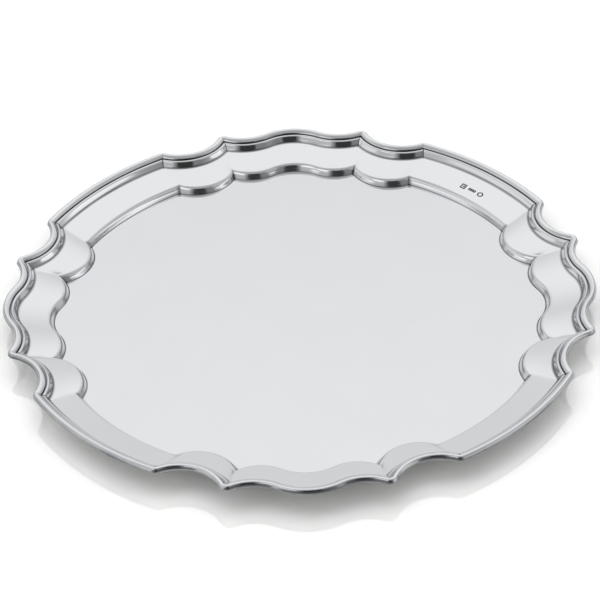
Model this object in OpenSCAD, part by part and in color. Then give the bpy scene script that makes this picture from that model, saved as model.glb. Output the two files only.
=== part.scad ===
// Round salver with a shaped piecrust border: a pressed plate and sixteen
// lengths of applied moulding, mitred at the corners of the outline.
// Origin: centre of the flat base, on the surface it stands on. +Z is up.
// A bracket of the border points along each of +X, +Y, -X and -Y.

/* [Overall] */
// Diameter across two opposite long arcs, outside the roll
overall_d = 305; // [280:1:340]

/* [Plate] */
// Thickness of the silver sheet
sheet_t = 1.0; // [0.8:0.1:1.2]
// Height of the step from the field up to the sloped band
step_h = 4.12; // [3.8:0.1:4.4]
// Height of the seat under the moulding above the resting surface
seat_z = 8.15; // [7.9:0.05:8.4]

/* [Border moulding] */
// Width of the cove and bead, inside the groove
cove_w = 3.95; // [3.8:0.05:4.1]
// Radius of the bead beside the groove
bead_r = 1.24; // [1.16:0.02:1.32]
// Height of the top of the bead above the resting surface
bead_z = 11.67; // [11.45:0.01:11.85]
// Depth of the groove between the bead and the roll
groove_depth = 0.62; // [0.3:0.02:0.8]
// Height of the crest of the roll above the resting surface
crest_z = 13.6; // [13.4:0.05:13.8]
// Height of the lower edge of the roll above the resting surface
edge_z = 11.55; // [11.3:0.05:11.8]

/* [Hidden] */
// ---- moulding section, in d (outward from the groove line) and z ----
// how far an arc of radius r runs in d and in z between two slopes
function arc_step(r, s0, s1) = [r * (sin(s0) - sin(s1)), r * (cos(s1) - cos(s0))];
bead_c = [-0.39, bead_z - bead_r];
lap_w = 0.3;
// the roll: three arcs, from the groove over the crest to the outer flank
roll_in_d = 0.42;
in_step = arc_step(0.7, 72, 45);
rise_step = arc_step(5.0, 45, 22);
crest_r = 1.1;
flank_slope = 62;
crest_rise = arc_step(crest_r, 22, 0);
crest_fall = arc_step(crest_r, 0, -flank_slope);
roll_in = [roll_in_d, crest_z - in_step[1] - rise_step[1] - crest_rise[1]];
roll_rise = roll_in + in_step;
crest_in = roll_rise + rise_step;
crest_p = crest_in + crest_rise;
crest_out = crest_p + crest_fall;
lip_w = crest_out[0] + (crest_out[1] - edge_z) / tan(flank_slope);

// ---- outlines: long arc radius, then brackets and scoops as fractions of it ----
// each outline is [long arc radius, scoop centre radius, scoop centre angle,
// scoop radius, hollow centre radius, hollow centre angle, hollow radius, apex reach]
groove_r = overall_d / 2 - lip_w;
inner_r = 0.8637 * groove_r;
groove_line = outline(groove_r, 1.1146, 22.16, 0.17355, 1.1443, 9.19, 0.17648, 1.0035);
step_line = outline(inner_r, 1.1071, 22.39, 0.17183, 1.1309, 9.30, 0.16867, 1.0002);

function outline(r, sd, sa, sr, hd, ha, hr, ap) = [r, sd * r, sa, sr * r, hd * r, ha, hr * r, ap * r];
function polar(r, a) = [r * cos(a), r * sin(a)];
function angle_of(v) = atan2(v[1], v[0]);
function unit(v) = v / norm(v);
function mirror_y(p) = [p[0], -p[1]];
// the angle b, taken the short way round from a
function turn(a, b) = b - a > 180 ? b - 360 : (a - b > 180 ? b + 360 : b);

function scoop_c(o) = polar(o[1], o[2]);
function hollow_c(o) = polar(o[4], o[5]);
// centre of the apex arc, placed so that it runs smoothly into the hollows
function apex_x(o) = let (c = hollow_c(o), s = o[7] + o[6]) (c * c - s * s) / (2 * (c[0] - s));
function apex_r(o) = o[7] - apex_x(o);

// the crossing of two circles that lies nearest the centre of the tray
function crossing(c1, r1, c2, r2) =
    let (v = c2 - c1, e = norm(v), a = (r1 * r1 - r2 * r2 + e * e) / (2 * e),
         h = sqrt(r1 * r1 - a * a), m = c1 + a * v / e, n = [-v[1], v[0]] / e,
         p = m + h * n, q = m - h * n)
    norm(p) < norm(q) ? p : q;

// corner of bracket and scoop, and corner of scoop and long arc, at offset d outward
function corner_a(o, d) = crossing(hollow_c(o), o[6] - d, scoop_c(o), o[3] - d);
function corner_b(o, d) =
    let (e = o[1], r1 = o[0] + d, r2 = o[3] - d, a = (r1 * r1 - r2 * r2 + e * e) / (2 * e))
    polar(r1, o[2] + acos(a / r1));
// point where the apex arc meets the hollow, on the line between their centres
function ogee_join(o, d) =
    let (c = [apex_x(o), 0]) c + (apex_r(o) + d) * unit(hollow_c(o) - c);

// ---- moulding ----
// the bead runs from the top of the cove, round and down into the groove
cove_top_slope = 56;
bead_end = 70;
function bead_p(a) = bead_c + polar(bead_r, a);
bead_head = bead_p(90 + cove_top_slope);
bead_rim = bead_p(bead_end);
toe = [-cove_w, seat_z];
cove_foot = toe - arc_step(0.5, 16, 46);
// a point of the cove, which is hollow by a share of its length
function cove_p(t, bow) =
    let (v = bead_head - cove_foot) cove_foot + t * v + 4 * t * (1 - t) * bow * [v[1], -v[0]];
section = concat(
    [toe, cove_foot, cove_p(0.33, 0.022), cove_p(0.67, 0.022)],
    [for (i = [0:3]) bead_p(90 + cove_top_slope + (bead_end - 90 - cove_top_slope) * i / 3)],
    [[0.09, bead_rim[1] - groove_depth], [0.27, bead_rim[1] - groove_depth], [0.38, bead_rim[1]]],
    [roll_in, roll_rise, roll_rise + arc_step(5.0, 45, 34), crest_in, crest_p],
    [crest_p + arc_step(crest_r, 0, -flank_slope / 2), crest_out, [lip_w, edge_z]],
    [[lip_w - 0.12, edge_z - 0.25], [3.2, edge_z - 0.35], [1.3, seat_z + 1.2], [-lap_w, seat_z]]);

// Inside the groove the lengths are mitred. Outside it they turn round the corner
// with the corner as pivot, and meet at the same plane.
turn_n = 3;
tail = 0.02;
function outside(d) = d > 0.379;

// One arc towards a corner, then the stations that end it. c and r are the arc's
// centre and radius, s is 1 if it bulges outward and -1 if inward, a0 the start,
// p the groove's corner, pd the corner at offset d, m the direction of the mitre.
function run(c, r, s, a0, p, pd, m, n, d) =
    let (e = turn(a0, angle_of((outside(d) ? p : pd) - c)),
         b = outside(d) ? e : e + (a0 - e) * tail,
         nrm = s > 0 ? angle_of(p - c) : angle_of(c - p), m1 = turn(nrm, m))
    concat([for (i = [0:n - 1]) c + polar(r + s * d, a0 + (b - a0) * i / n)],
           [for (i = [0:turn_n]) outside(d)
               ? p + polar(d, nrm + (m1 - nrm) * i / turn_n)
               : c + polar(r + s * d, b + (e - b) * i / turn_n)]);

go = groove_line;
corner1 = corner_a(go, 0);
corner2 = corner_b(go, 0);
hc = hollow_c(go);
sc = scoop_c(go);
ac = [apex_x(go), 0];
// directions of the mitres, halfway between the normals of the two arcs
mitre1 = (angle_of(hc - corner1) + angle_of(sc - corner1)) / 2;
mitre2 = (angle_of(sc - corner2) + angle_of(corner2)) / 2;

function reversed(v) = [for (i = [len(v) - 1:-1:0]) v[i]];
function half_bracket(d) =
    let (j = ogee_join(go, d))
    concat([for (i = [0:2]) ac + polar(apex_r(go) + d, angle_of(j - ac) * i / 3)],
           run(hc, go[6], -1, angle_of(j - hc), corner1, corner_a(go, d), mitre1, 6, d));
function half_scoop(p, pd, m, n, d) = run(sc, go[3], -1, 180 + angle_of(sc), p, pd, m, n, d);
function half_arc(d) = run([0, 0], go[0], 1, 45, corner2, corner_b(go, d), mitre2, 6, d);
function both(a, b) = concat(reversed([for (i = [1:len(a) - 1]) a[i]]), b);

function bracket_line(d) = let (h = half_bracket(d)) both([for (p = h) mirror_y(p)], h);
function scoop_line(d) = both(half_scoop(corner1, corner_a(go, d), mitre1, 6, d),
    half_scoop(corner2, corner_b(go, d), mitre2, 5, d));
function arc_line(d) = let (h = half_arc(d)) both(h, [for (p = h) [p[1], p[0]]]);

// Triangles that fill a flat outline which may be hollow in places: cut off one
// convex corner that holds no other point, then fill what is left.
function side(a, b, c) = (b[0] - a[0]) * (c[1] - a[1]) - (b[1] - a[1]) * (c[0] - a[0]);
function sum(v, i = 0) = i < len(v) ? v[i] + sum(v, i + 1) : 0;
function turning(v) = sign(sum([for (i = [0:len(v) - 1]) side([0, 0], v[i], v[(i + 1) % len(v)])]));
function holds(a, b, c, p, s) = s * side(a, b, p) >= 0 && s * side(b, c, p) >= 0 && s * side(c, a, p) >= 0;
function is_ear(v, a, b, c, ids, s) =
    s * side(v[a], v[b], v[c]) > 0.0001 &&
    len([for (j = ids) if (j != a && j != b && j != c && holds(v[a], v[b], v[c], v[j], s)) j]) == 0;
function filled(v, ids, s) =
    let (n = len(ids))
    n == 3 ? [ids] :
    let (ears = [for (i = [0:n - 1]) if (is_ear(v, ids[(i + n - 1) % n], ids[i], ids[(i + 1) % n], ids, s)) i],
         i = ears[0])
    concat([[ids[(i + n - 1) % n], ids[i], ids[(i + 1) % n]]],
           filled(v, [for (k = [0:n - 1]) if (k != i) ids[k]], s));
end_faces = filled(section, [for (i = [0:len(section) - 1]) i], turning(section));

// a length of moulding, from one line of points for each corner of the section
module moulding(lines) {
    n = len(lines[0]);
    m = len(section);
    polyhedron(
        points = [for (k = [0:m - 1]) for (p = lines[k]) [p[0], p[1], section[k][1]]],
        faces = concat([for (t = end_faces) t * n], [for (t = end_faces) reversed(t) * n + [1, 1, 1] * (n - 1)],
            [for (k = [0:m - 1]) for (i = [0:n - 2])
                let (a = k * n + i, e = ((k + 1) % m) * n + i)
                [a, a + 1, e + 1, e]]));
}
module bracket() moulding([for (q = section) bracket_line(q[0])]);
module scoop() moulding([for (q = section) scoop_line(q[0])]);
module long_arc() moulding([for (q = section) arc_line(q[0])]);

// ---- plate ----
slope = 13.5;
crown_r = 3.59;

// points along one arc, both ends included by the neighbour's first point
function arc_points(c, r, a0, a1, n) = [for (i = [0:n - 1]) c + polar(r, a0 + (a1 - a0) * i / n)];

// one eighth of an outline at offset d, from the bracket's apex to the middle of the long arc
function eighth(o, d) =
    let (a = [apex_x(o), 0], h = hollow_c(o), s = scoop_c(o), j = ogee_join(o, d),
         p = corner_a(o, d), q = corner_b(o, d),
         h0 = angle_of(j - h), h1 = turn(h0, angle_of(p - h)),
         s0 = angle_of(p - s), s1 = turn(s0, angle_of(q - s)))
    concat(arc_points(a, apex_r(o) + d, 0, angle_of(j - a), 3),
           arc_points(h, o[6] - d, h0, h1, 6),
           arc_points(s, o[3] - d, s0, s1, 11),
           arc_points([0, 0], o[0] + d, angle_of(q), 45, 5));
function quarter(o, d) =
    let (e = eighth(o, d), r = reversed([for (i = [1:len(e) - 1]) [e[i][1], e[i][0]]]))
    concat(e, [polar(o[0] + d, 45)], r);
function ring(o, d) =
    let (q = quarter(o, d))
    [for (k = [0:3]) for (p = q) [p[0] * cos(90 * k) - p[1] * sin(90 * k), p[0] * sin(90 * k) + p[1] * cos(90 * k)]];
function at_height(v, z) = [for (p = v) [p[0], p[1], z]];

// top of the sheet: foot fillet, riser, rounded crown, then the band and the seat
foot_d = -0.25;
crown_d = foot_d + 0.24;
crown_z = sheet_t + step_h - crown_r * (cos(slope) - cos(80));
function crown(i, n, r) =
    let (a = 80 + (slope - 80) * i / n)
    [crown_d + crown_r * sin(80) - r * sin(a), crown_z - crown_r * cos(80) + r * cos(a)];

top_rings = concat(
    [for (s = [[-0.7, 0], [foot_d - 0.08, 0.12], [foot_d + 0.05, 0.42]]) at_height(ring(step_line, s[0]), sheet_t + s[1])],
    [for (i = [0:6]) let (c = crown(i, 6, crown_r)) at_height(ring(step_line, c[0]), c[1])],
    [at_height(ring(groove_line, -cove_w), seat_z)],
    [at_height(ring(groove_line, -lap_w), seat_z)]);
under_rings = concat(
    [at_height(ring(groove_line, -lap_w), seat_z - sheet_t)],
    [at_height(ring(groove_line, -cove_w + 0.12), seat_z - sheet_t)],
    [for (i = [4:-1:0]) let (c = crown(i, 4, crown_r - sheet_t)) at_height(ring(step_line, c[0]), c[1])],
    [at_height(ring(step_line, foot_d + 0.95), 0.5)],
    [at_height(ring(step_line, foot_d + 0.45), 0)]);
all_rings = concat(top_rings, under_rings);

module plate() {
    n = len(all_rings[0]);
    m = len(all_rings);
    color("silver") polyhedron(
        points = concat([for (v = all_rings) for (p = v) p], [[0, 0, sheet_t], [0, 0, 0]]),
        faces = concat([for (i = [0:n - 1]) [(i + 1) % n, i, m * n]],
            [for (i = [0:n - 1]) [(m - 1) * n + i, (m - 1) * n + (i + 1) % n, m * n + 1]],
            [for (k = [0:m - 2]) for (i = [0:n - 1])
                let (a = k * n + i, b = k * n + (i + 1) % n)
                [a, b, b + n, a + n]]));
}

module place(quarter_turn) rotate([0, 0, 90 * quarter_turn]) children();
module flipped() mirror([0, 1, 0]) children();

module bracket_east() { color("lightsteelblue") place(0) bracket(); }
module bracket_north() { color("lightsteelblue") place(1) bracket(); }
module bracket_west() { color("lightsteelblue") place(2) bracket(); }
module bracket_south() { color("lightsteelblue") place(3) bracket(); }
module scoop_1() { color("slategray") place(0) scoop(); }
module scoop_2() { color("slategray") place(1) flipped() scoop(); }
module scoop_3() { color("slategray") place(1) scoop(); }
module scoop_4() { color("slategray") place(2) flipped() scoop(); }
module scoop_5() { color("slategray") place(2) scoop(); }
module scoop_6() { color("slategray") place(3) flipped() scoop(); }
module scoop_7() { color("slategray") place(3) scoop(); }
module scoop_8() { color("slategray") place(0) flipped() scoop(); }
module long_arc_ne() { color("gainsboro") place(0) long_arc(); }
module long_arc_nw() { color("gainsboro") place(1) long_arc(); }
module long_arc_sw() { color("gainsboro") place(2) long_arc(); }
module long_arc_se() { color("gainsboro") place(3) long_arc(); }

plate();
bracket_east();
bracket_north();
bracket_west();
bracket_south();
scoop_1();
scoop_2();
scoop_3();
scoop_4();
scoop_5();
scoop_6();
scoop_7();
scoop_8();
long_arc_ne();
long_arc_nw();
long_arc_sw();
long_arc_se();
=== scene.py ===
"""Looks for a silver salver: a pressed plate and sixteen lengths of border moulding.

The plan and section are worked out in millimetres, as in the CAD model, and turned
into finer meshes that stand for its nodes. +Z is up and the floor is z = 0.
"""

import math

import bpy
import numpy as np
from mathutils import Matrix, Vector


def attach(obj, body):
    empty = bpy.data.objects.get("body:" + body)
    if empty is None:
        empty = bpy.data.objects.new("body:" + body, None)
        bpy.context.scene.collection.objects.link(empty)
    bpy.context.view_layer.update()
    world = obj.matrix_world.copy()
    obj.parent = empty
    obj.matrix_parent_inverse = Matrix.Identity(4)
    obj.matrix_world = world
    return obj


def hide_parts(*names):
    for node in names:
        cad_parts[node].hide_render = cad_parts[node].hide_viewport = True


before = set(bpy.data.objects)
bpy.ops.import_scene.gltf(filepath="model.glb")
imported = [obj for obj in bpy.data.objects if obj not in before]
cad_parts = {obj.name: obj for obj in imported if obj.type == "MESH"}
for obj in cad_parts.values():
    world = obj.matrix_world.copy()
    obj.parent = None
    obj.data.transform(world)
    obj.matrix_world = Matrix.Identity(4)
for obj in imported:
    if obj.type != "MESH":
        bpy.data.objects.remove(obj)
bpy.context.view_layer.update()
MM = 0.001

# ---------------------------------------------------------------- sizes, mm
OVERALL_D = 304.99    # across opposite long arcs
BEAD_Z = 11.67        # top of the bead
SHEET_T = 1.0
STEP_H = 4.12         # height of the step from the field up to the band
SEAT_Z = 8.14         # where the moulding sits on the plate
COVE_W = 3.75         # from the groove in to the toe of the cove
BEAD_R = 1.24
CREST_Z = 13.6        # top of the roll, the highest line of the tray
EDGE_Z = 11.55        # outermost edge of the roll
BAND_SLOPE = 13.5     # degrees
CROWN_R = 3.59        # rounded top of the step
CROWN_D = 3.64        # centre of the crown's arc, outward from the line of the step
WALL_SLOPE = 68.0     # degrees, the steepest part of the step
FOOT_R = 0.5          # fillet where the step rises from the field
LAP_W = 0.3           # from the groove in to the edge of the plate

BEAD_C = np.array([-0.39, BEAD_Z - BEAD_R])
THUMB = ((72, 45, 0.7), (45, 22, 5.0), (22, -68, 1.25))   # slope from, to, radius of each arc of the roll
THUMB_IN_D = 0.42                                         # where the roll rises out of the groove


def arc_step(r, slope_0, slope_1):
    """How far an arc of that radius runs in d and in z between two slopes, in degrees."""
    a, b = math.radians(slope_0), math.radians(slope_1)
    return np.array([r * (math.sin(a) - math.sin(b)), r * (math.cos(b) - math.cos(a))])


THUMB_IN_Z = CREST_Z - sum(arc_step(r, a, max(b, 0))[1] for a, b, r in THUMB)
THUMB_OUT = np.array([THUMB_IN_D, THUMB_IN_Z]) + sum(arc_step(r, a, b) for a, b, r in THUMB)
FLANK = math.tan(math.radians(-THUMB[-1][1]))
LIP_W = THUMB_OUT[0] + (THUMB_OUT[1] - EDGE_Z) / FLANK
GROOVE_RADIUS = OVERALL_D / 2 - LIP_W
STEP_RADIUS = 0.8637 * GROOVE_RADIUS
QUARTER_TURNS = ((1, 0), (0, 1), (-1, 0), (0, -1))   # cosine and sine of each quarter turn


# ---------------------------------------------------------------- plan outline
def polar(r, degrees):
    a = math.radians(degrees)
    return np.array([r * math.cos(a), r * math.sin(a)])


def angle_of(v):
    return math.degrees(math.atan2(v[1], v[0]))


def short_turn(a, b):
    """The angle b, taken the short way round from a."""
    return b - 360 if b - a > 180 else b + 360 if a - b > 180 else b


def crossing(c1, r1, c2, r2):
    """Where two circles cross, on the side of the middle of the tray."""
    v = c2 - c1
    e = float(np.hypot(*v))
    a = (r1 * r1 - r2 * r2 + e * e) / (2 * e)
    h = math.sqrt(r1 * r1 - a * a)
    m = c1 + a * v / e
    n = np.array([-v[1], v[0]]) / e
    return min(m + h * n, m - h * n, key=lambda p: float(np.hypot(*p)))


class Outline:
    """Long arc, scoop, hollow and apex arcs of one line of the border, over an eighth of the turn.

    Distances (_d) and radii (_r) are shares of the long arc's radius, angles (_a) are in degrees,
    and reach is the share at the tip of the apex.
    """

    def __init__(self, radius, scoop_d, scoop_a, scoop_r, hollow_d, hollow_a, hollow_r, reach):
        self.radius = radius
        self.scoop_d = scoop_d * radius
        self.scoop_a = scoop_a
        self.scoop_r = scoop_r * radius
        self.scoop_c = polar(self.scoop_d, scoop_a)
        self.hollow_r = hollow_r * radius
        self.hollow_c = polar(hollow_d * radius, hollow_a)
        h, s = self.hollow_c, (reach + hollow_r) * radius
        self.apex_c = np.array([(h @ h - s * s) / (2 * (h[0] - s)), 0.0])
        self.apex_r = reach * radius - self.apex_c[0]

    def corner_a(self, d):
        return crossing(self.hollow_c, self.hollow_r - d, self.scoop_c, self.scoop_r - d)

    def corner_b(self, d):
        e, r1, r2 = self.scoop_d, self.radius + d, self.scoop_r - d
        a = (r1 * r1 - r2 * r2 + e * e) / (2 * e)
        return polar(r1, self.scoop_a + math.degrees(math.acos(a / r1)))

    def ogee_join(self, d):
        v = self.hollow_c - self.apex_c
        return self.apex_c + (self.apex_r + d) * v / np.hypot(*v)


GROOVE = Outline(GROOVE_RADIUS, scoop_d=1.1146, scoop_a=22.16, scoop_r=0.17355,
                 hollow_d=1.1443, hollow_a=9.19, hollow_r=0.17648, reach=1.0035)
STEP = Outline(STEP_RADIUS, scoop_d=1.1071, scoop_a=22.39, scoop_r=0.17183,
               hollow_d=1.1309, hollow_a=9.30, hollow_r=0.16867, reach=1.0002)


# ---------------------------------------------------------------- meshes
def make_piece(name, verts_mm, faces, node, material, sharp=32.0, values=None):
    """One closed piece from points in mm, standing for one CAD node."""
    mesh = bpy.data.meshes.new(name)
    mesh.from_pydata([tuple(v) for v in np.asarray(verts_mm) * MM], [], faces)
    mesh.validate()
    if values is not None:
        attribute = mesh.attributes.new("tarnish_and_shade", "FLOAT", "POINT")
        attribute.data.foreach_set("value", np.asarray(values, dtype=np.float32))
    mesh.shade_smooth()
    mesh.set_sharp_from_angle(angle=math.radians(sharp))
    mesh.materials.append(material)
    piece = bpy.data.objects.new(name, mesh)
    bpy.context.scene.collection.objects.link(piece)
    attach(piece, "root")
    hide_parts(node)
    return piece


# ---------------------------------------------------------------- moulding section
TOE_FILLET = (14, 52, 1.7)    # slope from, to, radius where the cove meets the band
COVE_TOP_SLOPE = 61.0
BEAD_END = 70                 # degrees round the bead, where it drops into the groove
GROOVE_FLOOR = ((0.07, -0.62), (0.34, -0.62), (0.4, 0.0))   # d, and z from the rim of the groove
TOE_POINTS = 8
COVE_POINTS = 10
BEAD_POINTS = 10
ROLL_POINTS = (8, 10, 6)      # inward of the crest, one count for each arc
OUTER_ROLL_POINTS = 10
# The flank's and the lip's recess values are painted: a painted dark reflection on the outer flank of the
# roll, and painted shade under it.
FLANK_POINTS = ((0.0, 0.7), (0.45, 0.75), (0.6, 0.9), (1.0, 1.0))   # share of the flank, recess
LIP_POINTS = (                # d, z, recess from the outer edge back under the roll to the seat
    (LIP_W - 0.02, EDGE_Z - 0.14, 0.9),
    (LIP_W - 0.12, EDGE_Z - 0.25, 1.0),
    (LIP_W - 0.35, EDGE_Z - 0.3, 1.0),
    (3.2, EDGE_Z - 0.35, 1.0),
    (1.3, SEAT_Z + 1.2, 1.0),
    (-LAP_W, SEAT_Z, 1.0),
)

# recess values, how dark each part of the section is painted: tarnish and painted shade in the groove and at
# the toe, painted shade up the lower cove and on the bead and roll beside the groove
TOE_RECESS = (0.3, 0.9)
COVE_RECESS_FALL = 3.0
BEAD_RECESS = 0.9
BEAD_RECESS_BEND = 3
ROLL_RECESS = (0.6, 0.1, 0.0)
OUTER_ROLL_BEND = 3


def moulding_section():
    """Points of the section as (d, z), with the recess value of each: how dark its tarnish and painted shade
    are.
    """
    points, tarnish_and_shade = [], []

    def add(p, deep):
        points.append(np.asarray(p, dtype=float))
        tarnish_and_shade.append(deep)

    def arc(start, slope_0, slope_1, r, n, deep_0, deep_1, bend=1):
        """Adds an arc without its last point, and returns that point."""
        for i in range(n):
            t = i / n
            slope = slope_0 + (slope_1 - slope_0) * t
            add(start + arc_step(r, slope_0, slope), deep_0 + (deep_1 - deep_0) * t ** bend)
        return start + arc_step(r, slope_0, slope_1)

    a, b, r = TOE_FILLET
    foot = arc(np.array([-COVE_W, SEAT_Z]), a, b, -r, TOE_POINTS, *TOE_RECESS)
    head = BEAD_C + polar(BEAD_R, 90 + COVE_TOP_SLOPE)
    chord = head - foot
    half = math.radians(COVE_TOP_SLOPE - b) / 2
    mid_slope = angle_of(chord)
    cove_r = float(np.hypot(*chord)) / (2 * math.sin(half))
    for i in range(COVE_POINTS):
        t = i / COVE_POINTS
        slope = mid_slope + math.degrees(half) * (2 * t - 1)
        deep = max(0.0, TOE_RECESS[1] - COVE_RECESS_FALL * t)
        add(foot + arc_step(-cove_r, mid_slope - math.degrees(half), slope), deep)
    for i in range(BEAD_POINTS + 1):
        turned = 90 + COVE_TOP_SLOPE + (BEAD_END - 90 - COVE_TOP_SLOPE) * i / BEAD_POINTS
        add(BEAD_C + polar(BEAD_R, turned), BEAD_RECESS * (i / BEAD_POINTS) ** BEAD_RECESS_BEND)
    rim = BEAD_C + polar(BEAD_R, BEAD_END)
    # the groove is painted fully dark, tarnish held in it and painted shade
    for d, z in GROOVE_FLOOR:
        add((d, rim[1] + z), 1.0)
    p = np.array([THUMB_IN_D, THUMB_IN_Z])
    for (a, b, r), n, deep in zip(THUMB, ROLL_POINTS, ROLL_RECESS):
        p = arc(p, a, max(b, 0), r, n, deep, 0.0)
    a, b, r = THUMB[-1]
    # the outer side of the roll darkens into the flank's painted reflection
    p = arc(p, 0, b, r, OUTER_ROLL_POINTS, 0.0, FLANK_POINTS[0][1], OUTER_ROLL_BEND)
    edge = np.array([LIP_W, EDGE_Z])
    for share, deep in FLANK_POINTS:
        add(p + (edge - p) * share, deep)
    for d, z, deep in LIP_POINTS:
        add((d, z), deep)
    return points, tarnish_and_shade


SECTION, SECTION_TARNISH_AND_SHADE = moulding_section()

# ---------------------------------------------------------------- lengths of moulding
# Outside this offset the lengths turn round the corner of the groove, inside it they are mitred.
PIVOT_D = GROOVE_FLOOR[-1][0] - 0.001
TURN_N = 7      # steps of the turn
TAIL = 0.04     # share of an arc that the steps of a mitre take up
APEX_N, HOLLOW_N, LONG_N = 7, 18, 22      # steps along each arc
SCOOP_N = (16, 14)                        # from the middle of a scoop to either end
CORNER_1 = GROOVE.corner_a(0)
CORNER_2 = GROOVE.corner_b(0)
MITRE_1 = (angle_of(GROOVE.hollow_c - CORNER_1) + angle_of(GROOVE.scoop_c - CORNER_1)) / 2
MITRE_2 = (angle_of(GROOVE.scoop_c - CORNER_2) + angle_of(CORNER_2)) / 2


def run(c, r, s, a0, p, pd, mitre, n, d):
    """One arc towards a corner, then the stations that end it at the mitre."""
    outside = d > PIVOT_D
    e = short_turn(a0, angle_of((p if outside else pd) - c))
    b = e if outside else e + (a0 - e) * TAIL
    normal = angle_of(p - c) if s > 0 else angle_of(c - p)
    m1 = short_turn(normal, mitre)
    line = [c + polar(r + s * d, a0 + (b - a0) * i / n) for i in range(n)]
    for i in range(TURN_N + 1):
        t = i / TURN_N
        line.append(p + polar(d, normal + (m1 - normal) * t) if outside
                    else c + polar(r + s * d, b + (e - b) * t))
    return line


def half_bracket(d):
    """From the middle of a bracket's apex to the corner it shares with a scoop."""
    g = GROOVE
    j = g.ogee_join(d)
    reach = angle_of(j - g.apex_c)
    apex = [g.apex_c + polar(g.apex_r + d, reach * i / APEX_N) for i in range(APEX_N)]
    return apex + run(g.hollow_c, g.hollow_r, -1, angle_of(j - g.hollow_c),
                      CORNER_1, g.corner_a(d), MITRE_1, HOLLOW_N, d)


def half_scoop(corner, pd, mitre, n, d):
    """From the middle of a scoop to one of its corners."""
    g = GROOVE
    return run(g.scoop_c, g.scoop_r, -1, 180 + g.scoop_a, corner, pd, mitre, n, d)


def both(a, b):
    """Two halves that start at the same point, as one line through it."""
    return a[:0:-1] + b


def bracket_line(d):
    h = half_bracket(d)
    return both([p * (1, -1) for p in h], h)


def scoop_line(d):
    return both(half_scoop(CORNER_1, GROOVE.corner_a(d), MITRE_1, SCOOP_N[0], d),
                half_scoop(CORNER_2, GROOVE.corner_b(d), MITRE_2, SCOOP_N[1], d))


def long_line(d):
    h = run(np.zeros(2), GROOVE.radius, 1, 45, CORNER_2, GROOVE.corner_b(d), MITRE_2, LONG_N, d)
    return both(h, [p[::-1] for p in h])


MITRE_RECESS = [1.6, 1.5, 1.0, 0.5]   # shade at the ends of a length, inside the groove
ROLL_END_RECESS = [0.4, 0.1]          # and on the roll
SOFT_IN = 0.16                        # width of the softened arris at a mitre, inside the groove
SOFT_OUT = 0.03                       # and on the roll


def section_normals():
    """Outward normal at each point of the section."""
    n = len(SECTION)
    normals = []
    for k in range(n):
        t = SECTION[(k + 1) % n] - SECTION[k - 1]
        normals.append(np.array([-t[1], t[0]]) / np.hypot(*t))
    return normals


def set_back(end, before, soft):
    """The end of a line, moved back along it by the width of the arris."""
    step = before - end
    return end + step * min(0.5, soft / max(1e-6, np.hypot(*step)))


def moulding_row(line_of, q, normal):
    """The points along one point of the section, with an arris at each end."""
    line = line_of(q[0])
    soft = SOFT_IN if q[0] <= PIVOT_D else SOFT_OUT
    shrunk = q - soft * normal
    inner = line_of(shrunk[0])
    middle = [set_back(line[0], line[1], soft)] + line[1:-1] + [set_back(line[-1], line[-2], soft)]
    return ([np.array([*inner[0], shrunk[1]])]
            + [np.array([*p, q[1]]) for p in middle]
            + [np.array([*inner[-1], shrunk[1]])])


def moulding_mesh(line_of):
    """A closed length of moulding: its points, faces and the recess value of each point, how dark its
    tarnish and painted shade are.
    """
    rows = [moulding_row(line_of, q, normal) for q, normal in zip(SECTION, section_normals())]
    n, m = len(rows[0]), len(rows)
    faces = [tuple(k * n for k in range(m)), tuple(k * n + n - 1 for k in range(m - 1, -1, -1))]
    for k in range(m):
        for i in range(n - 1):
            a, e = k * n + i, ((k + 1) % m) * n + i
            faces.append((a, a + 1, e + 1, e))
    values = []
    for k in range(m):
        ends = MITRE_RECESS if SECTION[k][0] <= PIVOT_D else ROLL_END_RECESS
        middle = [0.0] * (n - 2 * len(ends))
        values += [max(v, SECTION_TARNISH_AND_SHADE[k]) for v in ends + middle + ends[::-1]]
    return np.array([p for row in rows for p in row]), faces, values


def placed(verts, quarter, flip=False):
    """The points mirrored in the XZ plane if flip, then turned by quarter turns."""
    v = verts * (1, -1, 1) if flip else verts.copy()
    c, s = QUARTER_TURNS[quarter]
    return np.stack([v[:, 0] * c - v[:, 1] * s, v[:, 0] * s + v[:, 1] * c, v[:, 2]], axis=1)


# ---------------------------------------------------------------- struck marks on the band
MARK_RADIUS = 135.9
MARK_FIRST, MARK_LAST = 41.0, 48.1   # degrees, the stretch of band that holds them
MARK_HEIGHT = 3.7
MARK_DEPTH = 0.2
MARK_SHADE = 2.0
LINE_EDGE = 0.18                     # how far a struck line takes to fade out
SQUARE_AT, SQUARE_HALF = 6.0, 1.32
SQUARE_LINE, LOZENGE_LINE, RING_LINE = 0.3, 0.2, 0.3   # half widths of the struck lines
LOZENGE_AT, LOZENGE_HALF = -0.2, 0.5
RING_STEP, RING_R, RING_SQUASH = 1.55, 0.65, 1.1
OVAL_AT, OVAL_HALF, OVAL_SCALE = -5.9, (1.5, 1.25), 1.35
REACH_ROUND, REACH_DOWN = 0.4, 0.5   # how far round the marks the band's points may be moved


def smooth(edge, width, x):
    """0 well below the edge, 1 well above it."""
    t = min(1.0, max(0.0, (x - edge) / width + 0.5))
    return t * t * (3 - 2 * t)


def line_at(distance, half_width):
    """1 on a line, falling to 0 a little beyond its half width."""
    return 1 - smooth(half_width, LINE_EDGE, abs(distance))


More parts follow.
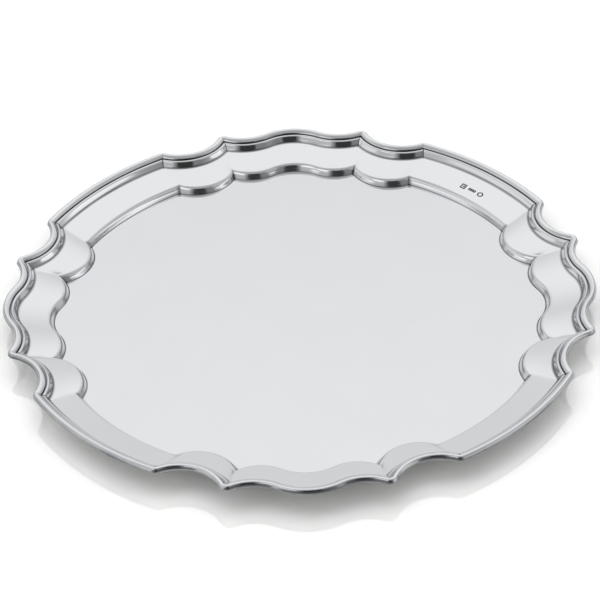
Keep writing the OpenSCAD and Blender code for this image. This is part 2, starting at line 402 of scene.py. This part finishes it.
def mark_depth(along, across):
    """How far the surface is struck in, for a place in mm from the middle of the row of marks."""
    # square punch with a lozenge inside
    x, y = along - SQUARE_AT, across
    square = max(abs(x), abs(y)) - SQUARE_HALF
    lozenge = abs(x - LOZENGE_AT) + abs(y) - LOZENGE_HALF
    sunk = max(line_at(square, SQUARE_LINE), line_at(lozenge, LOZENGE_LINE))
    # three small punches, side by side
    for k in (-1, 0, 1):
        small = math.hypot(along - RING_STEP * k, across * RING_SQUASH) - RING_R
        sunk = max(sunk, line_at(small, RING_LINE))
    # oval punch
    oval = (math.hypot((along - OVAL_AT) / OVAL_HALF[0], across / OVAL_HALF[1]) - 1) * OVAL_SCALE
    return max(sunk, line_at(oval, RING_LINE))


# ---------------------------------------------------------------- plate
def eighth(o, d, long_ts):
    """Points from a bracket's apex to the middle of a long arc, at offset d outward."""
    j, p, q = o.ogee_join(d), o.corner_a(d), o.corner_b(d)

    def arc(c, r, a0, a1, ts):
        a1 = short_turn(a0, a1)
        return [c + polar(r, a0 + (a1 - a0) * t) for t in ts]

    h, s = o.hollow_c, o.scoop_c
    return (arc(o.apex_c, o.apex_r + d, 0, angle_of(j - o.apex_c), APEX_TS)
            + arc(h, o.hollow_r - d, angle_of(j - h), angle_of(p - h), HOLLOW_TS)
            + arc(s, o.scoop_r - d, angle_of(p - s), angle_of(q - s), SCOOP_TS)
            + arc(np.zeros(2), o.radius + d, angle_of(q), 45, long_ts))


BY_CORNER = 0.3        # where the station by a corner lies, in steps of the arc
CORNER_SIDE = 0.6      # weight of the points beside a corner
MARK_STATIONS = 96     # stations of the quarter of a long arc that holds the marks


def stations(n, from_corner, to_corner):
    """Shares of an arc from 0 up to 1, with one more station close to each corner."""
    ts = [i / n for i in range(n)]
    near = BY_CORNER / n
    return ts[:1] + [near] * from_corner + ts[1:] + [1 - near] * to_corner


APEX_TS = stations(7, False, False)
HOLLOW_TS = stations(18, False, True)
SCOOP_TS = stations(28, True, True)
PLAIN_TS = stations(16, True, False)
FINE_TS = PLAIN_TS[:13] + [0.75 + 0.25 * i / MARK_STATIONS for i in range(MARK_STATIONS)]
CORNERS = (len(APEX_TS + HOLLOW_TS), len(APEX_TS + HOLLOW_TS + SCOOP_TS))   # places in an eighth


def corner_mask():
    """1 at the points of a ring that lie on a corner of the outline, less beside it, else 0."""
    def weight(i):
        beside = i - 1 in CORNERS or i + 1 in CORNERS
        return 1.0 if i in CORNERS else CORNER_SIDE if beside else 0.0

    mask = []
    for k in range(4):
        half = [weight(i) for i in range(CORNERS[1] + len(FINE_TS if k == 0 else PLAIN_TS))]
        mask += half + [0.0] + half[:0:-1]
    return np.array(mask)


def ring(o, d, z):
    """The whole outline at offset d, at one height."""
    points = []
    for k in range(4):
        e = eighth(o, d, FINE_TS if k == 0 else PLAIN_TS)
        quarter = e + [polar(o.radius + d, 45)] + [p[::-1] for p in e[:0:-1]]
        c, s = QUARTER_TURNS[k]
        points += [(p[0] * c - p[1] * s, p[0] * s + p[1] * c, z) for p in quarter]
    return np.array(points)


EASING_PASSES = 3
EASING_WEIGHTS = ((-2, 0.1), (-1, 0.25), (0, 0.3), (1, 0.25), (2, 0.1))   # neighbour, weight


def eased(points, share):
    """The ring with its corners rounded off, by a share from 0 to 1."""
    smoothed = points
    for _ in range(EASING_PASSES):
        smoothed = sum(w * np.roll(smoothed, k, axis=0) for k, w in EASING_WEIGHTS)
    return points + (smoothed - points) * share


CROWN_CENTRE_Z = SHEET_T + STEP_H - CROWN_R * math.cos(math.radians(BAND_SLOPE))


def crown_point(i, n, r):
    """A point of the rounded top of the step, from the wall to the band."""
    a = math.radians(WALL_SLOPE + (BAND_SLOPE - WALL_SLOPE) * i / n)
    return CROWN_D - r * math.sin(a), CROWN_CENTRE_Z + r * math.cos(a)


def foot_start():
    """Where the field ends and the fillet at the foot of the step begins."""
    wall = math.radians(WALL_SLOPE)
    d, z = crown_point(0, 1, CROWN_R)
    rise = z - SHEET_T - FOOT_R * (1 - math.cos(wall))
    return d - rise / math.tan(wall) - FOOT_R * math.sin(wall)


FOOT_D = foot_start()


def foot_point(slope, r):
    """A point of the fillet at the foot of the step, by its slope."""
    a = math.radians(slope)
    return FOOT_D + r * math.sin(a), SHEET_T + FOOT_R - r * math.cos(a)


FIELD_EDGE = 1.8                              # last ring of the flat field, inward of the foot
FOOT_LEAD = 0.2                               # and one more, this far inward of it
UNDER_TOE = 0.12                              # how far the bend below the toe lies outward of it
FIELD_SHARES = (0.04, 0.25, 0.5, 0.75, 0.92)  # rings of the field, as shares of that one
# painted shade: the recess values make a dark line along the foot of the step
FOOT_STATIONS = ((0, 1.0), (18, 1.3), (36, 1.3), (52, 1.0), (WALL_SLOPE, 0.3))   # slope, recess
UNDER_FOOT_SLOPES = (WALL_SLOPE, 50, 32, 16, 0)
CROWN_STEPS = 18
UNDER_CROWN_STEPS = 12
CROWN_EASING = 0.6          # how far the corners are rounded off where the crown meets the band
CORNER_RECESS = 1.2         # shade of the corners up the crown
CORNER_FADE = 12            # steps of the crown over which that shade runs out
MARK_MARGIN = 0.35          # finely divided band beyond the marks, each side
STEPS_BELOW_MARKS, MARK_STEPS, STEPS_ABOVE_MARKS = 5, 34, 6
BAND_END = 0.985            # share of the band taken by the last ring before the toe
TOE_SHADE = 0.3


def band_shares(inner, outer):
    """Where the rings of the band lie, from 0 to 1, close together over the struck marks."""
    middle = len(eighth(STEP, 0, FINE_TS))
    start = float(np.hypot(*inner[middle][:2]))
    width = float(np.hypot(*outer[middle][:2])) - start
    half = MARK_HEIGHT / 2 + MARK_MARGIN
    marks = [(MARK_RADIUS - half + 2 * half * i / MARK_STEPS - start) / width for i in range(MARK_STEPS + 1)]
    below = [marks[0] * i / STEPS_BELOW_MARKS for i in range(1, STEPS_BELOW_MARKS)]
    left = BAND_END - marks[-1]
    above = [marks[-1] + left * i / STEPS_ABOVE_MARKS for i in range(1, STEPS_ABOVE_MARKS + 1)]
    return below + marks + above


def top_rings():
    """Rings of the upper side from the middle outward, each with its recess values of painted shade."""
    corners = corner_mask()
    first = ring(STEP, FOOT_D - FIELD_EDGE, SHEET_T)
    rings = [(first * (share, share, 1), 0.0) for share in FIELD_SHARES]
    rings += [(first, 0.0), (ring(STEP, FOOT_D - FOOT_LEAD, SHEET_T), 0.0)]
    # painted shade along the foot, darker at the corners of the outline
    rings += [(ring(STEP, *foot_point(slope, FOOT_R)), deep + corners) for slope, deep in FOOT_STATIONS]
    for i in range(CROWN_STEPS + 1):
        d, z = crown_point(i, CROWN_STEPS, CROWN_R)
        fade = min(1.0, (CROWN_STEPS - i) / CORNER_FADE)
        easing = CROWN_EASING * (i / CROWN_STEPS) ** 2
        rings.append((eased(ring(STEP, d, z), easing), CORNER_RECESS * corners * fade))
    inner, outer = ring(STEP, d, z), ring(GROOVE, -COVE_W, SEAT_Z)
    for t in band_shares(inner, outer):
        easing = (CROWN_EASING + (1 - CROWN_EASING) * t) * min(1.0, 2.0 * (1 - t))
        rings.append((eased(inner + (outer - inner) * t, easing), 0.0))
    # painted shade at the toe, and full painted shade on the lap hidden under the moulding
    return rings + [(outer, TOE_SHADE), (ring(GROOVE, -LAP_W, SEAT_Z), 1.0)]


def under_rings():
    """Rings of the underside from the outer edge back to the middle."""
    rings = [ring(GROOVE, -LAP_W, SEAT_Z - SHEET_T), ring(GROOVE, -COVE_W + UNDER_TOE, SEAT_Z - SHEET_T)]
    for i in range(UNDER_CROWN_STEPS, -1, -1):
        rings.append(ring(STEP, *crown_point(i, UNDER_CROWN_STEPS, CROWN_R - SHEET_T)))
    rings += [ring(STEP, *foot_point(slope, FOOT_R + SHEET_T)) for slope in UNDER_FOOT_SLOPES]
    last = ring(STEP, FOOT_D - FIELD_EDGE, 0.0)
    return rings + [last * (share, share, 1) for share in (1,) + FIELD_SHARES[::-1]]


def plate_mesh():
    """The closed plate: its points, faces and how dark each point is painted: shade at the foot, the corners
    and the toe, and the struck marks.
    """
    top, under = top_rings(), under_rings()
    rings = [points for points, _ in top] + under
    tarnish_and_shade = [deep * np.ones(len(points)) for points, deep in top]
    n, m = len(rings[0]), len(rings)
    verts = np.concatenate(rings + [np.array([[0, 0, SHEET_T], [0, 0, 0]])])
    struck = strike(verts)
    top_centre, under_centre = n * m, n * m + 1
    faces = []
    for i in range(n):
        j = (i + 1) % n
        faces.append((top_centre, i, j))
        faces.append((under_centre, (m - 1) * n + j, (m - 1) * n + i))
        for k in range(m - 1):
            a, b = k * n + i, k * n + j
            faces.append((a, a + n, b + n, b))
    values = np.concatenate(tarnish_and_shade + [np.zeros(n * len(under) + 2)])
    return verts, faces, np.maximum(values, struck)


def strike(verts):
    """Sinks the marks into the points of the band, and returns how dark each point is struck."""
    angles = np.degrees(np.arctan2(verts[:, 1], verts[:, 0]))
    radii = np.hypot(verts[:, 0], verts[:, 1])
    in_turn = (angles > MARK_FIRST) & (angles < MARK_LAST)
    on_top = verts[:, 2] > SHEET_T + STEP_H - REACH_DOWN
    on_band = on_top & (np.abs(radii - MARK_RADIUS) < MARK_HEIGHT / 2 + REACH_ROUND)
    middle = (MARK_FIRST + MARK_LAST) / 2
    tilt = math.radians(BAND_SLOPE)
    struck = np.zeros(len(verts))
    for i in np.nonzero(in_turn & on_band)[0]:
        along = math.radians(angles[i] - middle) * MARK_RADIUS
        share = mark_depth(along, radii[i] - MARK_RADIUS)
        struck[i] = MARK_SHADE * share
        outward = verts[i][:2] / radii[i]
        verts[i][:2] += outward * MARK_DEPTH * share * math.sin(tilt)
        verts[i][2] -= MARK_DEPTH * share * math.cos(tilt)
    return struck


# ---------------------------------------------------------------- materials
class Nodes:
    """Small helper for building a node tree."""

    def __init__(self, owner):
        self.owner = owner
        owner.use_nodes = True
        self.tree = owner.node_tree
        self.tree.nodes.clear()

    def add(self, kind, inputs=None, **settings):
        node = self.tree.nodes.new(kind)
        for key, value in settings.items():
            setattr(node, key, value)
        for key, value in (inputs or {}).items():
            if isinstance(value, bpy.types.NodeSocket):
                self.tree.links.new(value, node.inputs[key])
            else:
                node.inputs[key].default_value = value
        return node

    def math(self, operation, a, b=0.0):
        return self.add("ShaderNodeMath", {0: a, 1: b}, operation=operation).outputs[0]

    def mix(self, share, a, b):
        return self.add("ShaderNodeMix", {"Factor": share, "A": a, "B": b}, data_type="FLOAT").outputs[0]

    def noise(self, place, scale, detail, roughness):
        inputs = {"Vector": place, "Scale": scale, "Detail": detail, "Roughness": roughness}
        return self.add("ShaderNodeTexNoise", inputs).outputs["Fac"]

    def spread(self, value, low, high, to_low=0.0, to_high=1.0, **settings):
        """The value, moved from one range to another."""
        inputs = {"Value": value, "From Min": low, "From Max": high, "To Min": to_low, "To Max": to_high}
        return self.add("ShaderNodeMapRange", inputs, **settings).outputs[0]


# dark colour of the tarnish and of the painted shade and painted dark reflections
TARNISH_AND_SHADE_COLOUR = (0.045, 0.055, 0.07, 1.0)
LINE_STRETCH = (1.0, 14.0, 6.0)     # polishing lines, drawn out along one way
LINE_TURN = (0, 0, 0.6)
LINE_DEPTH = 0.00002                # metres
GRAIN_DEPTH = 0.00001
TINT = 0.015                        # faint handling marks over the whole surface
TARNISH_AND_SHADE_ROUGHNESS = 0.3


def silver(name, tone, roughness, scratch, tarnish_and_shade_level):
    """Polished silver: fine polishing lines, faint handling marks, and tarnish and painted shade laid on by
    the recess values.
    """
    n = Nodes(bpy.data.materials.new(name))
    place = n.add("ShaderNodeTexCoord").outputs["Object"]
    tarnish_and_shade = n.add("ShaderNodeAttribute", attribute_name="tarnish_and_shade").outputs["Fac"]
    clouds = n.noise(place, scale=28.0, detail=4.0, roughness=0.55)
    grain = n.noise(place, scale=900.0, detail=3.0, roughness=0.6)
    drawn = n.add("ShaderNodeMapping", {"Vector": place, "Rotation": LINE_TURN, "Scale": LINE_STRETCH})
    lines = n.noise(drawn.outputs[0], scale=240.0, detail=2.0, roughness=0.5)
    # tarnish and painted shade follow the recess values, broken up by the cloud noise
    patchy = n.spread(clouds, 0.3, 0.7, to_low=0.55, to_high=1.0)
    dark = n.math("MULTIPLY", n.math("MULTIPLY", tarnish_and_shade, patchy), tarnish_and_shade_level)
    veil = n.math("MAXIMUM", dark, n.spread(clouds, 0.35, 0.65, to_high=TINT))
    tones = {"Factor": veil, 6: (*tone, 1.0), 7: TARNISH_AND_SHADE_COLOUR}   # 6 and 7 are the two colours
    colour = n.add("ShaderNodeMix", tones, data_type="RGBA").outputs[2]
    vary = n.spread(lines, 0.3, 0.7, to_low=roughness * 0.8, to_high=roughness * 1.25)
    rough = n.math("ADD", vary, n.math("MULTIPLY", dark, TARNISH_AND_SHADE_ROUGHNESS))
    fine = n.add("ShaderNodeBump", {"Strength": scratch, "Distance": LINE_DEPTH, "Height": lines}).outputs[0]
    grainy = {"Strength": scratch, "Distance": GRAIN_DEPTH, "Height": grain, "Normal": fine}
    bump = n.add("ShaderNodeBump", grainy).outputs[0]
    surface = {"Base Color": colour, "Metallic": 1.0, "Roughness": rough, "Normal": bump}
    shader = n.add("ShaderNodeBsdfPrincipled", surface)
    n.add("ShaderNodeOutputMaterial", {"Surface": shader.outputs[0]})
    return n.owner


# ---------------------------------------------------------------- the salver
PLATE_SHARP = 15     # degrees between faces from which an edge is drawn sharp
BORDER_SHARP = 32
PLATE_TONE = (0.955, 0.96, 0.972)
BORDER_TONE = (0.95, 0.955, 0.965)
PLATE_SILVER = silver("plate_silver", PLATE_TONE, roughness=0.13, scratch=0.25, tarnish_and_shade_level=0.8)
BORDER_SILVER = silver("border_silver", BORDER_TONE, roughness=0.05, scratch=0.15, tarnish_and_shade_level=1.0)
SCOOP_PLACES = ((0, False), (1, True), (1, False), (2, True), (2, False), (3, True), (3, False), (0, True))


def border_piece(node, mesh, quarter, flip=False):
    """One length of moulding in its place: mesh is its points, faces and recess values."""
    verts, faces, values = mesh
    if flip:
        faces = [face[::-1] for face in faces]
    verts = placed(verts, quarter, flip)
    make_piece(f"{node}_visual", verts, faces, node, BORDER_SILVER, BORDER_SHARP, values)


def build_salver():
    verts, faces, values = plate_mesh()
    make_piece("plate_visual", verts, faces, "plate", PLATE_SILVER, PLATE_SHARP, values)
    bracket, scoop, long_arc = (moulding_mesh(line) for line in (bracket_line, scoop_line, long_line))
    for quarter, side in enumerate(("east", "north", "west", "south")):
        border_piece(f"bracket_{side}", bracket, quarter)
    for k, (quarter, flip) in enumerate(SCOOP_PLACES):
        border_piece(f"scoop_{k + 1}", scoop, quarter, flip)
    for quarter, corner in enumerate(("ne", "nw", "sw", "se")):
        border_piece(f"long_arc_{corner}", long_arc, quarter)


build_salver()

# ---------------------------------------------------------------- floor
FLOOR_HALF = 6.0                     # metres
FLOOR_SHADE = 0.90
FLOOR_TINT = (1.0, 0.993, 0.965)     # slightly warm
FLOOR_GLOSS_IOR = 2.6
FLOOR_ROUGHNESS = 0.04
FLOOR_DROP = 0.00005                 # keeps it clear of the underside


def glossy_floor():
    mesh = bpy.data.meshes.new("floor")
    h = FLOOR_HALF
    mesh.from_pydata([(-h, -h, 0), (h, -h, 0), (h, h, 0), (-h, h, 0)], [], [(0, 1, 2, 3)])
    n = Nodes(bpy.data.materials.new("floor_white"))
    shade = (*(FLOOR_SHADE * share for share in FLOOR_TINT), 1.0)
    surface = {"Base Color": shade, "Roughness": FLOOR_ROUGHNESS, "IOR": FLOOR_GLOSS_IOR}
    shader = n.add("ShaderNodeBsdfPrincipled", surface)
    n.add("ShaderNodeOutputMaterial", {"Surface": shader.outputs[0]})
    mesh.materials.append(n.owner)
    floor = bpy.data.objects.new("floor", mesh)
    floor.location.z = -FLOOR_DROP
    bpy.context.scene.collection.objects.link(floor)


glossy_floor()

# ---------------------------------------------------------------- studio light
# The room that the silver mirrors, as soft panels painted one over another. Bearings
# are in degrees from the camera's side of the tray, + to its right; heights are above
# the horizon. Each is bearing from, to, softness, height from, to, softness, level.
ROOM_LEVEL = 0.47
ROOM = {
    "back_wall": (132, 228, 34, -90, 80, 14, 0.675),
    "back_wall_top": (120, 240, 40, 34, 78, 24, 0.85),
    "back_low_shade": (140, 220, 20, -90, 2.5, 3, 0.3),
    "left_low_shade": (-165, -112, 12, -20, 11, 5, 0.16),
    "right_low_shade": (112, 165, 12, -20, 11, 5, 0.14),
    "front_top": (-75, 75, 30, 52, 100, 10, 0.38),
    "left_panel": (-62, -24, 8, 29, 56, 7, 0.95),
    "left_low_panel": (-112, -60, 14, 22, 46, 10, 0.62),
    "right_shade": (10, 62, 40, -90, 54, 6, 0.20),
    "left_edge_shade": (-18, 10, 10, -90, 55, 6, 0.20),
    "low_front_shade": (-60, 70, 20, -90, 4, 5, 0.06),
    "dark_gap": (-11, 25, 7, -90, 55, 4, 0.035),
    "right_low_lamp": (66, 98, 8, 5, 19, 4, 0.88),
    "right_floor_lamp": (48, 92, 8, -4, 8, 5, 1.1),
    "left_floor_lamp": (-84, -46, 8, -4, 9, 5, 1.1),
    "left_mid_panel": (-120, -62, 10, 5, 20, 5, 0.72),
    "right_side_panel": (46, 84, 10, 29, 46, 5, 0.5),
}
FILL_LEVEL = 1.04                              # soft light on the floor
FILL_BACK = (120, 270, 50, 12, 78, 16, 3.2)    # and a lamp behind the tray, placed as in ROOM
BACKDROP_LEVEL = 1.2                           # what the camera sees beyond the floor
LIGHT_COLOUR = (0.975, 0.988, 1.0, 1.0)


def studio():
    """A pale room round the tray, with a dark gap behind the camera."""
    bpy.context.scene.world = bpy.data.worlds.new("studio")
    n = Nodes(bpy.context.scene.world)

    def ramp(value, middle, width):
        return n.spread(value, middle - width / 2, middle + width / 2, interpolation_type="SMOOTHSTEP")

    def window(value, low, high, soft):
        return n.math("MULTIPLY", ramp(value, low, soft), n.math("SUBTRACT", 1.0, ramp(value, high, soft)))

    split = n.add("ShaderNodeSeparateXYZ", {0: n.add("ShaderNodeTexCoord").outputs["Generated"]})
    x, y, z = split.outputs
    to_degrees = 180 / math.pi
    bearing = n.math("MULTIPLY", n.math("ARCTAN2", x, n.math("MULTIPLY", y, -1.0)), to_degrees)
    full_turn = n.math("MULTIPLY", n.math("LESS_THAN", bearing, 0.0), 360.0)
    beyond = n.math("ADD", bearing, full_turn)    # the same bearing from 0 to 360, for panels at the back
    height = n.math("MULTIPLY", n.math("ARCSINE", z), to_degrees)

    def painted(level, panel):
        b0, b1, b_soft, h0, h1, h_soft, value = panel
        across = window(beyond if b1 > 180 else bearing, b0, b1, b_soft)
        return n.mix(n.math("MULTIPLY", across, window(height, h0, h1, h_soft)), level, value)

    level = ROOM_LEVEL
    for panel in ROOM.values():
        level = painted(level, panel)
    path = n.add("ShaderNodeLightPath").outputs
    lit = n.mix(path["Is Diffuse Ray"], level, painted(FILL_LEVEL, FILL_BACK))
    seen = n.mix(path["Is Camera Ray"], lit, BACKDROP_LEVEL)
    shade = n.add("ShaderNodeBackground", {"Color": LIGHT_COLOUR, "Strength": seen})
    n.add("ShaderNodeOutputWorld", {"Surface": shade.outputs[0]})


studio()
bpy.context.scene.view_settings.view_transform = "Standard"
bpy.context.scene.view_settings.look = "None"

# ---------------------------------------------------------------- camera
DISTANCE = 1.3310
AZIMUTH, ELEVATION, ROLL = -0.394, 37.608, -2.036   # degrees
LOOK_AT = Vector((0.00016, 0.00492, 0.005))
LENS = 154.03


def camera():
    data = bpy.data.cameras.new("camera")
    data.lens = LENS
    data.sensor_width = 36.0
    data.clip_start, data.clip_end = 0.05, 50.0
    cam = bpy.data.objects.new("camera", data)
    a, e = math.radians(AZIMUTH), math.radians(ELEVATION)
    back = Vector((math.sin(a) * math.cos(e), -math.cos(a) * math.cos(e), math.sin(e)))
    turned = (-back).to_track_quat("-Z", "Y").to_matrix() @ Matrix.Rotation(math.radians(ROLL), 3, "Z")
    cam.matrix_world = Matrix.Translation(LOOK_AT + back * DISTANCE) @ turned.to_4x4()
    bpy.context.scene.collection.objects.link(cam)
    bpy.context.scene.camera = cam


camera()
